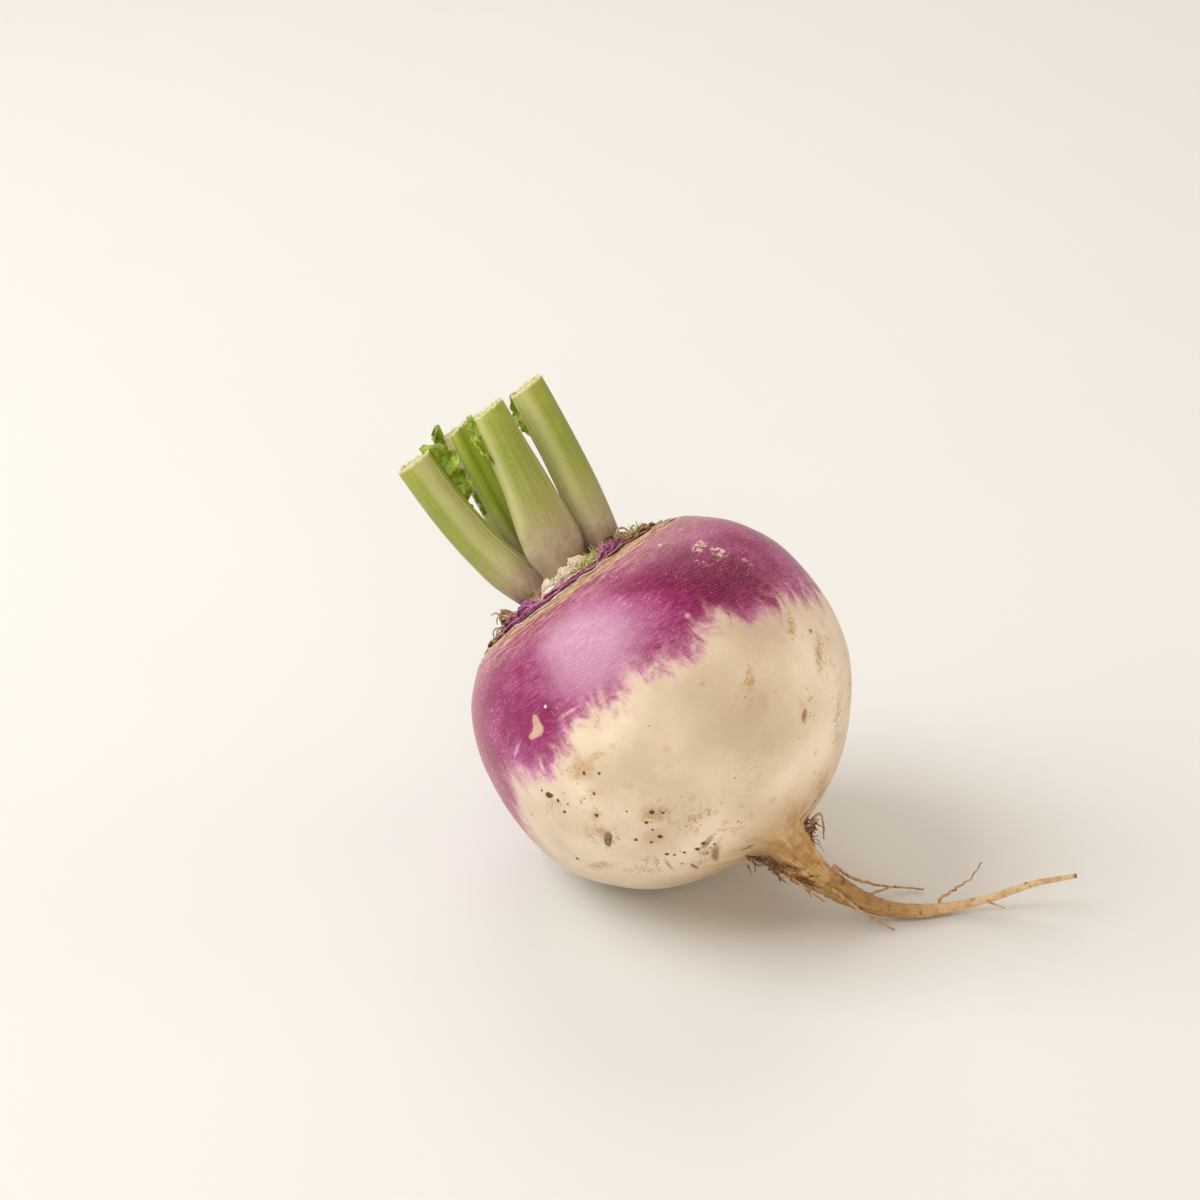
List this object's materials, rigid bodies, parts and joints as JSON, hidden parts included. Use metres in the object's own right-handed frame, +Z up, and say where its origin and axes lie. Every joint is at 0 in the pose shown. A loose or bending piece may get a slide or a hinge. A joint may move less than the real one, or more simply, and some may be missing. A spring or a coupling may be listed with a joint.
{
  "type": "turnip",
  "caption": "Round purple-topped turnip lying on its side with cut green leaf stalks on its crown and a thin curved tap root.",
  "frame": {"origin": "middle of the small flat spot that the bulb rests on", "axes": "+X along the longest extent, from the cut stalks to the tip of the tap root; +Y from the side with the tap root to the side that the crown leans to; +Z up"},
  "size_m": [0.1509, 0.0863, 0.1076],
  "materials": {
    "skin": "satin skin, magenta purple over the crown half and cream below, with fine rings, pores and soil marks",
    "stalk": "satin ribbed green leaf stalk, greyish mauve at the foot and pale at the cut end",
    "leaf": "crinkled matt green leaf",
    "stub": "matt cream stub with green fibres, ragged",
    "scale": "satin dark purple scale",
    "husk": "dry papery tan husk",
    "side_root": "dry tan fibre"
  },
  "bodies": {
    "root": {"turnip_root": "skin", "leaf_stalk_1": "stalk", "leaf_stalk_2": "stalk", "leaf_stalk_3": "stalk", "leaf_stalk_4": "stalk", "leaf_stalk_5": "stalk", "leaf_stalk_6": "stalk", "leaf_lobe_1": "leaf", "leaf_lobe_2": "leaf", "leaf_lobe_3": "leaf", "leaf_lobe_4": "leaf", "leaf_lobe_5": "leaf", "stalk_stub": "stub", "leaf_scale_1": "scale", "leaf_scale_2": "scale", "leaf_scale_3": "scale", "dry_husk_1": "husk", "dry_husk_2": "husk", "dry_husk_3": "husk", "dry_husk_4": "husk", "side_root_1": "side_root", "side_root_2": "side_root", "side_root_3": "side_root", "side_root_4": "side_root", "side_root_5": "side_root", "side_root_6": "side_root", "side_root_7": "side_root"}
  },
  "joints": []
}
